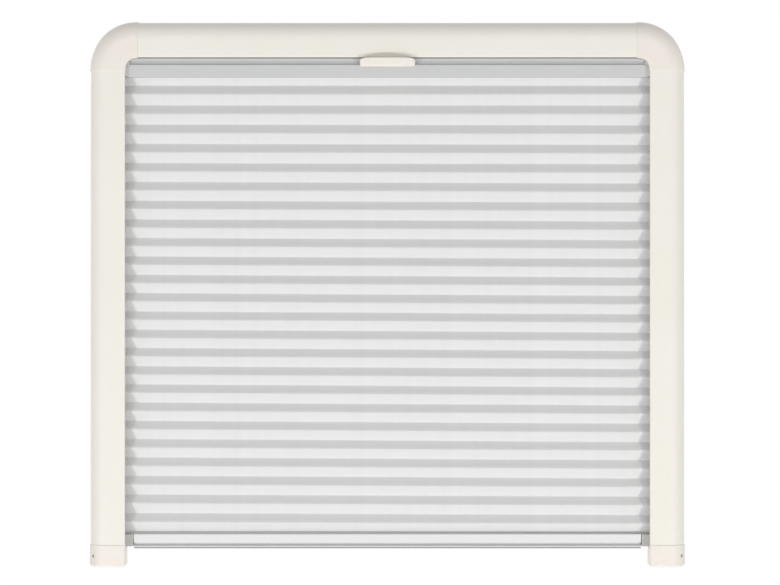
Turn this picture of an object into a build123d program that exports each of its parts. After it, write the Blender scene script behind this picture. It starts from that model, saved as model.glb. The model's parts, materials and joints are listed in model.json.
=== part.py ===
from build123d import *
import os
from math import cos, hypot, radians, sin, sqrt

# Day and night blind for a window: a pleated night cloth and a pleated day screen share one
# pull bar, which slides in a frame of three rounded extrusions, two corner mouldings and two caps.
# The frame is +X right and +Z up. The wall is the plane y = 0 and the front looks to -Y.
# The origin lies on the wall plane, at the centre of the four wall screw holes.
# Sections are drawn in u, from the outer edge inwards, and v, from the wall to the front.

# Driving sizes, in millimetres
OPENING_WIDTH = 596.0
FRAME_HEIGHT = 620.0
PROFILE_WIDTH = 40.5
PROFILE_DEPTH = 26.0

# Frame extrusion
PROFILE_WALL = 1.8
CROWN_RADIUS = 20.0
LIP_DEPTH = 6.0
LIP_ROUND = 1.2
LIP_CHAMFER = 0.8
WEB_INSET = 14.0
CHANNEL_FRONT_WALL = 3.0
FLANGE_REACH = 9.0
WALL_HOLE_RADIUS = 2.1
WALL_HOLE_RISE = 400.0

# Corner joints and end caps
SLEEVE_PROUD = 0.8
CORNER_INNER_RADIUS = 12.0
CORNER_LEG = 2.5
SPIGOT_LENGTH = 25.0
CAP_HEIGHT = 24.5
CAP_WALL = 2.4
CAP_CHAMFER = 2.2
CAP_EDGE_ROUND = 3.6

# Bars for the cloth: the pull bar and the bottom rail with its seal
BAR_BACK_GAP = 5.0
BAR_DEPTH = 14.0
BAR_WALL = 1.2
BAR_ROUND = 0.8
GROOVE_HEIGHT = 4.0
GROOVE_DEPTH = 2.6
GROOVE_LIP = 1.0
GROOVE_UNDERCUT = 0.8
POCKET_WIDTH = 6.0
POCKET_HEIGHT = 4.2
SLOT_WIDTH = 2.4
PULL_BAR_FACE = 14.0
PULL_BAR_LIP = 4.0
PULL_BAR_TOP_GAP = 0.3
PULL_BAR_END_GAP = 1.5
BOTTOM_RAIL_FACE = 9.4
BOTTOM_RAIL_LIP = 1.1
BOTTOM_RAIL_LIFT = 22.3
BOTTOM_RAIL_DEPTH = 10.0
RAIL_GROOVE_DEPTH = 4.6
SEAL_HEIGHT = 1.8
SEAL_SETBACK = 0.8
SEAL_DEPTH = 5.0

# Guide shoes of the pull bar and plugs of the bottom rail
SHOE_SPIGOT = 15.0
SHOE_REACH = 10.0
SHOE_INSET = 1.0
SHOE_CHAMFER = 1.2
SHOE_NIB = 3.5
PLUG_SHOW = 8.5
PLUG_GAP = 1.0
PLUG_INSET = 0.5
PLUG_SPIGOT = 12.0
PLUG_FOOT_GAP = 3.5
PLUG_FOOT_DEPTH = 9.0

# Finger grip
GRIP_WIDTH = 63.0
GRIP_HEIGHT = 9.6
GRIP_REACH = 17.0
GRIP_END_REACH = 11.5
GRIP_TOP_GAP = 0.5
GRIP_EDGE_CHAMFER = 1.0
GRIP_CORNER_ROUND = 3.0
GRIP_SHOULDER_WIDTH = 9.5
GRIP_SHOULDER_DROP = 3.0
GRIP_KEY_WIDTH = 50.0
SCOOP_RADIUS = 11.0
SCOOP_DEPTH = 2.2
SCOOP_WIDTH = 40.0

# Pleated night cloth and day screen
PLEATS = 24
PLEAT_DEPTH = 7.4
DOWN_FLANK_SHARE = 0.53
HEAD_FLANK_SHARE = 0.73
FOOT_FLANK_SHARE = 0.13
CLOTH_THICKNESS = 0.4
CLOTH_TUCK = 4.0
CLOTH_STACK = 30.0
SCREEN_THICKNESS = 0.2
SCREEN_STRIP_DEPTH = 8.0
SCREEN_STRIP_HEIGHT = 6.0
STRIP_END_GAP = 2.0
HALF_FLANK_SHARE = 0.5

# Tension cords with their anchors, buffers and ferrules
CORD_RADIUS = 0.5
CORD_SETBACK = 7.0
CORD_END_GAP = 1.5
ANCHOR_WIDTH = 4.4
ANCHOR_DROP = 3.0
ANCHOR_RISE = 7.0
BUFFER_WIDTH = 4.8
BUFFER_LENGTH = 9.0
FERRULE_LENGTH = 4.0

# Cap screws
CAP_SCREW_ANGLE = 39.0
CAP_SCREW_HEAD_RADIUS = 2.0
CAP_SCREW_HEAD_HEIGHT = 1.0
CAP_SCREW_RADIUS = 1.1
CAP_SCREW_LENGTH = 16.0
CAP_SCREW_RECESS = 0.5
CAP_SCREW_SLOT_WIDTH = 0.7
CAP_SCREW_SLOT_DEPTH = 0.5
CAP_SCREW_SLOT_TURN = 35.0

# Fits
FIT_GAP = 0.15
RUNNING_GAP = 0.3
THREAD_GAP = 0.05
CORD_GAP = 0.4
CUT_OVERRUN = 1.0

# Places that follow from the sizes
HALF_OPENING = OPENING_WIDTH / 2
LEFT_EDGE_X = -HALF_OPENING - PROFILE_WIDTH
CROWN_Z = FRAME_HEIGHT / 2 - SLEEVE_PROUD
FOOT_Z = -FRAME_HEIGHT / 2
LINTEL_Z = CROWN_Z - PROFILE_WIDTH
WEB_Z = CROWN_Z - WEB_INSET
CORNER_X = CORNER_INNER_RADIUS - HALF_OPENING
CORNER_Z = LINTEL_Z - CORNER_INNER_RADIUS
LINTEL_END_X = CORNER_X + CORNER_LEG
RAIL_HEAD_Z = CORNER_Z - CORNER_LEG
RAIL_FOOT_Z = FOOT_Z + CAP_HEIGHT
MOUTH_FRONT = PROFILE_DEPTH - LIP_DEPTH
CHANNEL_FRONT = PROFILE_DEPTH - CHANNEL_FRONT_WALL

BAR_FRONT = BAR_BACK_GAP + BAR_DEPTH
BAR_MID = BAR_BACK_GAP + BAR_DEPTH / 2
PULL_BAR_HEIGHT = PULL_BAR_FACE + GROOVE_HEIGHT + PULL_BAR_LIP
PULL_BAR_TOP_Z = LINTEL_Z - PULL_BAR_TOP_GAP
PULL_BAR_Z = PULL_BAR_TOP_Z - PULL_BAR_HEIGHT
PULL_BAR_HALF = HALF_OPENING - PULL_BAR_END_GAP
BOTTOM_RAIL_HEIGHT = BOTTOM_RAIL_FACE + GROOVE_HEIGHT + BOTTOM_RAIL_LIP
BOTTOM_RAIL_Z = FOOT_Z + BOTTOM_RAIL_LIFT
BOTTOM_RAIL_TOP_Z = BOTTOM_RAIL_Z + BOTTOM_RAIL_HEIGHT
BOTTOM_RAIL_HALF = HALF_OPENING - PLUG_SHOW
BOTTOM_RAIL_FRONT = BAR_BACK_GAP + BOTTOM_RAIL_DEPTH
CHAMBER_RISE = 2 * BAR_WALL + POCKET_HEIGHT

PLEAT_BACK = BAR_MID - PLEAT_DEPTH / 2
HEAD_SLOT = PLEAT_BACK + HEAD_FLANK_SHARE * PLEAT_DEPTH
FOOT_SLOT = PLEAT_BACK + FOOT_FLANK_SHARE * PLEAT_DEPTH

SCREEN_LOW_Z = PULL_BAR_TOP_Z + RUNNING_GAP
SCREEN_HIGH_Z = WEB_Z - SCREEN_STRIP_HEIGHT - RUNNING_GAP
STRIP_HALF = BOTTOM_RAIL_HALF - STRIP_END_GAP

CORD_X = HALF_OPENING + CORD_SETBACK
CORNER_WEB_RADIUS = CORNER_X - LEFT_EDGE_X - WEB_INSET
CORD_WEB_Z = CORNER_Z + sqrt(CORNER_WEB_RADIUS**2 - (CORD_X + CORNER_X)**2)
CORD_TOP_Z = CORD_WEB_Z + ANCHOR_RISE - CORD_END_GAP
PLUG_LOW_Z = BOTTOM_RAIL_Z + PLUG_INSET
FERRULE_Z = PLUG_LOW_Z - BUFFER_LENGTH
CORD_FOOT_Z = FERRULE_Z - FERRULE_LENGTH
CAP_SCREW_Z = FOOT_Z + CAP_HEIGHT / 2


def rect(u0, u1, v0, v1):
    """Rectangle between two corners of a section."""
    return Pos((u0 + u1) / 2, (v0 + v1) / 2) * Rectangle(u1 - u0, v1 - v0)


def block(x0, x1, v0, v1, z0, z1):
    """Block between two corners, with its depth measured from the wall."""
    centre = Pos((x0 + x1) / 2, -(v0 + v1) / 2, (z0 + z1) / 2)
    return centre * Box(x1 - x0, v1 - v0, z1 - z0)


def rail_plane(z):
    """Section plane of the left rail at a level; it extrudes downwards."""
    return Plane(origin=(LEFT_EDGE_X, 0, z), x_dir=(1, 0, 0), z_dir=(0, 0, -1))


def lintel_plane(x):
    """Section plane of the top profile at a place along it; it extrudes to the left."""
    return Plane(origin=(x, 0, CROWN_Z), x_dir=(0, 0, -1), z_dir=(-1, 0, 0))


def depth_plane(x):
    """Plane across the blind, with v to its right and z up; it extrudes to the left."""
    return Plane(origin=(x, 0, 0), x_dir=(0, -1, 0), z_dir=(-1, 0, 0))


def crown_face(grow):
    """Filled outline of the frame section, grown outwards, with a sharp inner front edge."""
    side_top = PROFILE_DEPTH - CROWN_RADIUS
    front = PROFILE_DEPTH + grow
    inner = PROFILE_WIDTH + grow
    outline = Curve() + [
        Line((-grow, 0), (-grow, side_top)),
        CenterArc((CROWN_RADIUS, side_top), CROWN_RADIUS + grow, 180, -90),
        Line((CROWN_RADIUS, front), (inner, front)),
        Line((inner, front), (inner, 0)),
        Line((inner, 0), (-grow, 0)),
    ]
    return make_face(outline)


def lip_of(face, grow):
    """Inner front corner of a frame section that was grown outwards."""
    return face.vertices().sort_by_distance((PROFILE_WIDTH + grow, PROFILE_DEPTH + grow, 0))[0]


def hollow_face(clearance):
    """Inside of the frame section, less a clearance on every side."""
    wall = PROFILE_WALL + clearance
    inside = rect(wall, PROFILE_WIDTH - wall, wall, PROFILE_DEPTH - wall)
    return crown_face(-wall) & inside


def chamber_face(clearance):
    """Outer hollow chamber of the frame section, which takes the spigots."""
    side = WEB_INSET - PROFILE_WALL - clearance
    return hollow_face(clearance) & rect(0, side, 0, PROFILE_DEPTH)


def channel_face():
    """Inner channel of the frame section, open towards the window, which guides the bar."""
    channel = rect(WEB_INSET, PROFILE_WIDTH - PROFILE_WALL, PROFILE_WALL, CHANNEL_FRONT)
    mouth_end = PROFILE_WIDTH + SLEEVE_PROUD + CUT_OVERRUN
    return channel + rect(PROFILE_WIDTH / 2, mouth_end, PROFILE_WALL, MOUTH_FRONT)


def profile_face():
    """Section of the extrusion that the rails and the top profile are cut from."""
    flange = rect(PROFILE_WIDTH / 2, PROFILE_WIDTH + FLANGE_REACH, 0, PROFILE_WALL)
    crown = crown_face(0)
    return fillet(lip_of(crown, 0), LIP_ROUND) + flange - chamber_face(0) - channel_face()


def wall_plane(x, z):
    """Plane on the wall at a place, looking to the front."""
    return Plane(origin=(x, 0, z), x_dir=(1, 0, 0), z_dir=(0, -1, 0))


def side_rail():
    """Left side rail, with its wall screw holes."""
    rail = extrude(rail_plane(RAIL_HEAD_Z) * profile_face(), RAIL_HEAD_Z - RAIL_FOOT_Z)
    for level in (WALL_HOLE_RISE / 2, -WALL_HOLE_RISE / 2):
        place = wall_plane(FLANGE_REACH / 2 - HALF_OPENING, level)
        rail -= place * Cylinder(WALL_HOLE_RADIUS, 2 * (PROFILE_WALL + CUT_OVERRUN))
    return rail


def top_profile():
    """Top profile between the two corner joints."""
    return extrude(lintel_plane(-LINTEL_END_X) * profile_face(), -2 * LINTEL_END_X)


def corner_joint():
    """Left corner joint: the section turned through a right angle, with a spigot on each leg."""
    crown = crown_face(SLEEVE_PROUD)
    face = chamfer(lip_of(crown, SLEEVE_PROUD), LIP_CHAMFER) - channel_face()
    turn = Axis((CORNER_X, 0, CORNER_Z), (0, 1, 0))
    joint = revolve(rail_plane(CORNER_Z) * face, turn, 90)
    joint += extrude(rail_plane(CORNER_Z) * face, CORNER_LEG)
    joint += extrude(lintel_plane(LINTEL_END_X) * face, CORNER_LEG)
    spigot = chamber_face(FIT_GAP)
    joint += extrude(rail_plane(RAIL_HEAD_Z) * spigot, SPIGOT_LENGTH)
    joint += extrude(lintel_plane(LINTEL_END_X + SPIGOT_LENGTH) * spigot, SPIGOT_LENGTH)
    pocket_top = CORD_WEB_Z + ANCHOR_RISE + FIT_GAP
    return joint - on_cord(ANCHOR_WIDTH + 2 * THREAD_GAP, LINTEL_Z, pocket_top)


def on_cord(width, z0, z1):
    """Upright square bar on the line of the left tension cord."""
    return Pos(-CORD_X, -BAR_MID, (z0 + z1) / 2) * Box(width, width, z1 - z0)


def cord_passage(gap, z0, z1):
    """Square passage for the left tension cord, open past both levels."""
    return on_cord(2 * (CORD_RADIUS + gap), z0 - CUT_OVERRUN, z1 + CUT_OVERRUN)


def cap_screw_plane():
    """Plane square to the left cap's crown where its screw goes in, looking outwards."""
    lean = radians(CAP_SCREW_ANGLE)
    reach = CROWN_RADIUS + SLEEVE_PROUD
    x = LEFT_EDGE_X + CROWN_RADIUS - reach * cos(lean)
    v = PROFILE_DEPTH - CROWN_RADIUS + reach * sin(lean)
    return Plane(origin=(x, -v, CAP_SCREW_Z), x_dir=(0, 0, 1), z_dir=(-cos(lean), -sin(lean), 0))


def sunk(radius, start, end):
    """Round bar along the left cap screw's line, between two depths under the crown."""
    return extrude(cap_screw_plane().offset(-end) * Circle(radius), end - start)


def cap_screw():
    """Left cap screw: a slotted round head under the crown and a shank into the bottom plug."""
    head_end = CAP_SCREW_RECESS + CAP_SCREW_HEAD_HEIGHT
    slot_end = CAP_SCREW_RECESS + CAP_SCREW_SLOT_DEPTH
    head = sunk(CAP_SCREW_HEAD_RADIUS, CAP_SCREW_RECESS, head_end)
    slot = Rot(0, 0, CAP_SCREW_SLOT_TURN) * Rectangle(3 * CAP_SCREW_HEAD_RADIUS, CAP_SCREW_SLOT_WIDTH)
    head -= extrude(cap_screw_plane().offset(-slot_end) * slot, slot_end + CUT_OVERRUN)
    return head + sunk(CAP_SCREW_RADIUS, head_end - CAP_SCREW_HEAD_HEIGHT / 2, CAP_SCREW_LENGTH)


def end_cap():
    """Left end cap: a moulded shell, open to the wall, with a spigot up into the rail."""
    crown = crown_face(SLEEVE_PROUD)
    face = fillet(lip_of(crown, SLEEVE_PROUD), CAP_EDGE_ROUND)
    cap = extrude(rail_plane(RAIL_FOOT_Z) * face, CAP_HEIGHT)
    rim = cap.faces().sort_by(Axis.Z)[0].edges().sort_by(Axis.Y)[:-1]
    cap = chamfer(rim, CAP_CHAMFER)
    cavity_height = CAP_HEIGHT - 2 * CAP_WALL
    cavity_face = crown_face(-CAP_WALL)
    cap -= extrude(rail_plane(RAIL_FOOT_Z - CAP_WALL) * cavity_face, cavity_height)
    slot_end = CUT_OVERRUN + SLEEVE_PROUD - HALF_OPENING
    slot_top = RAIL_FOOT_Z + CUT_OVERRUN
    for end, low in (
        (slot_end, BOTTOM_RAIL_Z - FIT_GAP),
        (-HALF_OPENING - CAP_WALL, RAIL_FOOT_Z - CAP_WALL - CUT_OVERRUN),
    ):
        cap -= block(LEFT_EDGE_X + WEB_INSET, end, PROFILE_WALL, MOUTH_FRONT, low, slot_top)
    cap += extrude(rail_plane(RAIL_FOOT_Z + SPIGOT_LENGTH) * chamber_face(FIT_GAP), SPIGOT_LENGTH)
    cap -= sunk(CAP_SCREW_HEAD_RADIUS + FIT_GAP, -CUT_OVERRUN, CAP_SCREW_RECESS + CAP_SCREW_HEAD_HEIGHT)
    return cap - sunk(CAP_SCREW_RADIUS + FIT_GAP, -CUT_OVERRUN, 2 * CAP_WALL)


def bar_outline(depth, height):
    """Outer outline of a cloth bar; the cloth leaves it at level zero."""
    outline = rect(0, depth, 0, height)
    return fillet(outline.vertices(), BAR_ROUND)


def bar_chamber(clearance):
    """Hollow of the pull bar, between its two cloth pockets and behind the front groove."""
    low = CHAMBER_RISE + clearance
    back = BAR_WALL + clearance
    front = BAR_DEPTH - BAR_WALL - clearance
    step = front - GROOVE_DEPTH
    lower = rect(back, front, low, PULL_BAR_FACE - GROOVE_UNDERCUT - BAR_WALL - clearance)
    return lower + rect(back, step, low, PULL_BAR_HEIGHT - CHAMBER_RISE - clearance)


def rail_chamber(clearance):
    """Hollow of the bottom rail, under the cloth pocket and behind the front groove."""
    back = BAR_WALL + clearance
    front = BOTTOM_RAIL_DEPTH - RAIL_GROOVE_DEPTH - BAR_WALL - clearance
    return rect(back, front, CHAMBER_RISE + clearance, BOTTOM_RAIL_HEIGHT - BAR_WALL - clearance)


def bar_pocket(level, way, slot):
    """Pocket for a clip strip, with the slot that its cloth leaves by at a depth from the wall."""
    middle = slot - BAR_BACK_GAP
    ceiling = level + way * (BAR_WALL + POCKET_HEIGHT)
    shoulder = level + way * BAR_WALL
    levels = sorted((shoulder, ceiling))
    pocket = rect(middle - POCKET_WIDTH / 2, middle + POCKET_WIDTH / 2, levels[0], levels[1])
    mouth = sorted((level - way * CUT_OVERRUN, shoulder + way * FIT_GAP))
    return pocket + rect(middle - SLOT_WIDTH / 2, middle + SLOT_WIDTH / 2, mouth[0], mouth[1])


def front_groove(clearance):
    """Undercut groove along the pull bar's front, which holds the grip."""
    face = PULL_BAR_FACE
    top = face + GROOVE_HEIGHT
    bed = BAR_DEPTH - GROOVE_DEPTH + clearance
    mouth = BAR_DEPTH - GROOVE_LIP
    end = BAR_DEPTH + CUT_OVERRUN
    wide = rect(
        bed,
        mouth - clearance,
        face - GROOVE_UNDERCUT + clearance,
        top + GROOVE_UNDERCUT - clearance,
    )
    return wide + rect(bed, end, face + clearance, top - clearance)


def pull_bar_plane(x):
    """Section plane of the pull bar; it extrudes to the left, with the cloth below."""
    return Plane(origin=(x, -BAR_BACK_GAP, PULL_BAR_Z), x_dir=(0, -1, 0), z_dir=(-1, 0, 0))


def bottom_rail_plane(x):
    """Section plane of the bottom rail; it extrudes to the right, with the cloth above."""
    return Plane(origin=(x, -BAR_BACK_GAP, BOTTOM_RAIL_TOP_Z), x_dir=(0, -1, 0), z_dir=(1, 0, 0))


def pull_bar():
    """Pull bar: a hollow bar with a pocket for each cloth and a groove for the grip."""
    section = bar_outline(BAR_DEPTH, PULL_BAR_HEIGHT)
    section -= bar_chamber(0)
    section -= bar_pocket(0, 1, HEAD_SLOT) + bar_pocket(PULL_BAR_HEIGHT, -1, BAR_MID)
    section -= front_groove(0)
    return extrude(pull_bar_plane(PULL_BAR_HALF) * section, 2 * PULL_BAR_HALF)


def bottom_rail():
    """Bottom rail: a lower bar with one cloth pocket and a deep groove over its foot."""
    section = bar_outline(BOTTOM_RAIL_DEPTH, BOTTOM_RAIL_HEIGHT) - rail_chamber(0)
    section -= bar_pocket(0, 1, FOOT_SLOT)
    groove_bed = BOTTOM_RAIL_DEPTH - RAIL_GROOVE_DEPTH
    groove_end = BOTTOM_RAIL_DEPTH + CUT_OVERRUN
    groove_foot = BOTTOM_RAIL_FACE + GROOVE_HEIGHT
    section -= rect(groove_bed, groove_end, BOTTOM_RAIL_FACE, groove_foot)
    half = BOTTOM_RAIL_HALF - PLUG_GAP
    return extrude(bottom_rail_plane(-half) * section, 2 * half)


def bottom_seal():
    """Rubber strip along the underside of the bottom rail, which keeps light out."""
    half = BOTTOM_RAIL_HALF - PLUG_GAP
    front = BOTTOM_RAIL_FRONT - SEAL_SETBACK
    return block(-half, half, front - SEAL_DEPTH, front, BOTTOM_RAIL_Z - SEAL_HEIGHT, BOTTOM_RAIL_Z)


def guide_shoe():
    """Left guide shoe: a spigot in the pull bar, a neck, and a head behind the rail's lip."""
    inner = PULL_BAR_HALF
    neck_end = HALF_OPENING + PROFILE_WALL + RUNNING_GAP
    low = PULL_BAR_Z + SHOE_INSET
    high = PULL_BAR_TOP_Z - SHOE_INSET
    chamber = bar_chamber(FIT_GAP)
    shoe = extrude(pull_bar_plane(SHOE_SPIGOT - inner) * chamber, SHOE_SPIGOT)
    shoe += block(-neck_end, -inner, BAR_BACK_GAP, BAR_FRONT, low, high)
    head = block(
        -HALF_OPENING - SHOE_REACH,
        -neck_end,
        PROFILE_WALL + RUNNING_GAP,
        CHANNEL_FRONT - RUNNING_GAP,
        low,
        high,
    )
    shoe += chamfer(head.edges().filter_by(Axis.X) + head.edges().filter_by(Axis.Z), SHOE_CHAMFER)
    nib = front_groove(FIT_GAP) & rect(0, BAR_DEPTH - FIT_GAP, 0, PULL_BAR_HEIGHT)
    shoe += extrude(pull_bar_plane(SHOE_NIB - inner) * nib, SHOE_NIB)
    return shoe - cord_passage(CORD_GAP, low, high)


def tension_cord():
    """Left tension cord, taut in the rail from its anchor to its ferrule."""
    length = CORD_TOP_Z - CORD_FOOT_Z
    return Pos(-CORD_X, -BAR_MID, CORD_FOOT_Z + length / 2) * Cylinder(CORD_RADIUS, length)


def bottom_plug():
    """Left plug of the bottom rail: a spigot, a block in the rail's channel, and a foot in the cap."""
    low = PLUG_LOW_Z
    high = BOTTOM_RAIL_TOP_Z - PLUG_INSET
    channel_end = LEFT_EDGE_X + WEB_INSET + FIT_GAP
    plug = extrude(bottom_rail_plane(-BOTTOM_RAIL_HALF) * rail_chamber(FIT_GAP), PLUG_SPIGOT)
    plug += block(
        -HALF_OPENING,
        -BOTTOM_RAIL_HALF,
        BAR_BACK_GAP + PLUG_INSET,
        BOTTOM_RAIL_FRONT - PLUG_INSET,
        low,
        high,
    )
    plug += block(channel_end, -HALF_OPENING, PROFILE_WALL + FIT_GAP, MOUTH_FRONT - FIT_GAP, low, high)
    plug += block(
        channel_end,
        -CORD_X - BUFFER_WIDTH / 2 - PLUG_FOOT_GAP,
        BAR_MID - PLUG_FOOT_DEPTH / 2,
        BAR_MID + PLUG_FOOT_DEPTH / 2,
        FOOT_Z + CAP_WALL + FIT_GAP,
        high,
    )
    plug -= cord_passage(CORD_GAP, low, high)
    return plug - sunk(CAP_SCREW_RADIUS + THREAD_GAP, 0, CAP_SCREW_LENGTH + THREAD_GAP)


def grip():
    """Finger grip: a bowed tab with rounded shoulders, a finger hollow and a key for the groove."""
    half = GRIP_WIDTH / 2
    top = LINTEL_Z - GRIP_TOP_GAP
    low = top - GRIP_HEIGHT
    plan = Curve() + [
        Line((-half, 0), (-half, GRIP_END_REACH)),
        ThreePointArc((-half, GRIP_END_REACH), (0, GRIP_REACH), (half, GRIP_END_REACH)),
        Line((half, GRIP_END_REACH), (half, 0)),
        Line((half, 0), (-half, 0)),
    ]
    floor = Plane(origin=(0, -BAR_FRONT, top), x_dir=(1, 0, 0), z_dir=(0, 0, -1))
    tab = extrude(floor * make_face(plan), GRIP_HEIGHT)
    corners = tab.edges().filter_by(Axis.Z).sort_by(Axis.Y)[:2]
    tab = fillet(corners, GRIP_CORNER_ROUND)
    rims = tab.faces().filter_by(Plane.XY)
    tab = chamfer([edge for rim in rims for edge in rim.edges().sort_by(Axis.Y)[:-1]], GRIP_EDGE_CHAMFER)
    shoulder_x = half - GRIP_SHOULDER_WIDTH
    shoulder_z = GRIP_HEIGHT - GRIP_SHOULDER_DROP
    front = Curve() + [
        Line((-half, 0), (-half, shoulder_z)),
        TangentArc((-shoulder_x, GRIP_HEIGHT), (-half, shoulder_z), tangent=(-1, 0)),
        Line((-shoulder_x, GRIP_HEIGHT), (shoulder_x, GRIP_HEIGHT)),
        TangentArc((shoulder_x, GRIP_HEIGHT), (half, shoulder_z), tangent=(1, 0)),
        Line((half, shoulder_z), (half, 0)),
        Line((half, 0), (-half, 0)),
    ]
    face_plane = Plane(origin=(0, -BAR_FRONT, low), x_dir=(1, 0, 0), z_dir=(0, -1, 0))
    tab &= extrude(face_plane * make_face(front), GRIP_REACH + CUT_OVERRUN)
    scoop = Rot(0, 90, 0) * Cylinder(SCOOP_RADIUS, SCOOP_WIDTH)
    tab -= Pos(0, -BAR_FRONT - GRIP_REACH / 2, low + SCOOP_DEPTH - SCOOP_RADIUS) * scoop
    key_face = front_groove(FIT_GAP) & rect(0, BAR_DEPTH, 0, PULL_BAR_HEIGHT)
    return tab + extrude(pull_bar_plane(GRIP_KEY_WIDTH / 2) * key_face, GRIP_KEY_WIDTH)


def pleated_cloth(top, bottom, depth, thickness, shares):
    """Pleated cloth between two levels, from part of a downward flank to part of an upward one.

    The shares are the height share of a downward flank in a pleat, and the depth shares of the first
    and the last flank.
    """
    down_share, head_share, foot_share = shares
    pitch = (top - bottom) / (PLEATS + down_share * head_share + (1 - down_share) * foot_share)
    down_flank = pitch * down_share
    up_flank = pitch - down_flank
    sheet = thickness * hypot(depth, pitch / 2) / depth
    inset = depth * sheet / pitch
    front = BAR_MID + depth / 2
    back = BAR_MID - depth / 2
    head = back + head_share * depth
    foot = back + foot_share * depth
    front_side = [(head, top - sheet / 2)]
    back_side = [(head, top + sheet / 2)]
    for pleat in range(PLEATS + 1):
        back_fold = top - down_flank * head_share - pitch * pleat
        front_side.append((back + inset, back_fold + down_flank * inset / depth - sheet / 2))
        back_side += [(back, back_fold + sheet / 2), (back, back_fold - sheet / 2)]
        if pleat < PLEATS:
            front_fold = back_fold - up_flank
            front_side += [(front, front_fold + sheet / 2), (front, front_fold - sheet / 2)]
            back_side.append((front - inset, front_fold + up_flank * inset / depth - sheet / 2))
    front_side.append((foot, bottom + sheet / 2))
    back_side.append((foot, bottom - sheet / 2))
    outline = make_face(Polyline(*front_side, *reversed(back_side), close=True))
    half = HALF_OPENING + CLOTH_TUCK
    return extrude(depth_plane(half) * outline, 2 * half)


def cloth_tail(slot, z0, z1, thickness):
    """Plain edge of a cloth, standing in the slot of its bar."""
    return block(-STRIP_HALF, STRIP_HALF, slot - thickness / 2, slot + thickness / 2, z0, z1)


def night_blind():
    """Night cloth between the pull bar and the bottom rail."""
    high = PULL_BAR_Z - FIT_GAP
    low = BOTTOM_RAIL_TOP_Z + FIT_GAP
    shares = DOWN_FLANK_SHARE, HEAD_FLANK_SHARE, FOOT_FLANK_SHARE
    cloth = pleated_cloth(high, low, PLEAT_DEPTH, CLOTH_THICKNESS, shares)
    cloth += cloth_tail(HEAD_SLOT, high, PULL_BAR_Z + BAR_WALL, CLOTH_THICKNESS)
    return cloth + cloth_tail(FOOT_SLOT, BOTTOM_RAIL_TOP_Z - BAR_WALL, low, CLOTH_THICKNESS)


def day_screen():
    """Day screen, packed flat between the pull bar and the strip in the top profile."""
    pitch = (PULL_BAR_Z - BOTTOM_RAIL_TOP_Z) / PLEATS
    depth = hypot(PLEAT_DEPTH, pitch / 2)
    shares = HALF_FLANK_SHARE, HALF_FLANK_SHARE, HALF_FLANK_SHARE
    screen = pleated_cloth(SCREEN_HIGH_Z, SCREEN_LOW_Z, depth, SCREEN_THICKNESS, shares)
    screen += cloth_tail(BAR_MID, PULL_BAR_TOP_Z - BAR_WALL, SCREEN_LOW_Z, SCREEN_THICKNESS)
    return screen + cloth_tail(BAR_MID, SCREEN_HIGH_Z, SCREEN_HIGH_Z + RUNNING_GAP, SCREEN_THICKNESS)


def clip_strip(slot, z0, z1):
    """Clip strip in a cloth pocket."""
    half_width = POCKET_WIDTH / 2 - FIT_GAP
    return block(-STRIP_HALF, STRIP_HALF, slot - half_width, slot + half_width, z0, z1)


def screen_head_strip():
    """Strip under the top profile's web, which holds the day screen's upper edge."""
    low = WEB_Z - SCREEN_STRIP_HEIGHT
    half_depth = SCREEN_STRIP_DEPTH / 2
    return block(LINTEL_END_X, -LINTEL_END_X, BAR_MID - half_depth, BAR_MID + half_depth, low, WEB_Z)


def cord_anchor():
    """Left square peg in the corner joint, with the cord's upper end in it."""
    low = CORD_WEB_Z - ANCHOR_DROP
    peg = on_cord(ANCHOR_WIDTH, low, CORD_WEB_Z + ANCHOR_RISE)
    return peg - cord_passage(THREAD_GAP, low, CORD_TOP_Z - CUT_OVERRUN)


def tension_buffer():
    """Left rubber block that keeps the cord tight, between the plug and the ferrule."""
    return on_cord(BUFFER_WIDTH, FERRULE_Z, PLUG_LOW_Z) - cord_passage(FIT_GAP, FERRULE_Z, PLUG_LOW_Z)


def cord_ferrule():
    """Left ferrule, crimped square on the cord's lower end."""
    return on_cord(BUFFER_WIDTH, CORD_FOOT_Z, FERRULE_Z) - cord_passage(THREAD_GAP, CORD_FOOT_Z, FERRULE_Z)


def mirrored(shape):
    """The same piece for the right-hand side."""
    return mirror(shape, about=Plane.YZ)


def save(name, shape):
    """Write one piece, or one group of like pieces, to its own file."""
    export_step(shape, f"parts/{name}.step")


def save_pair(name, shape):
    """Write a left piece and its mirrored right piece."""
    save(f"left_{name}", shape)
    save(f"right_{name}", mirrored(shape))


def save_group(name, shapes):
    """Write like fasteners as one group of separate solids."""
    save(name, Compound(children=[solid for shape in shapes for solid in shape.solids()]))


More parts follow.
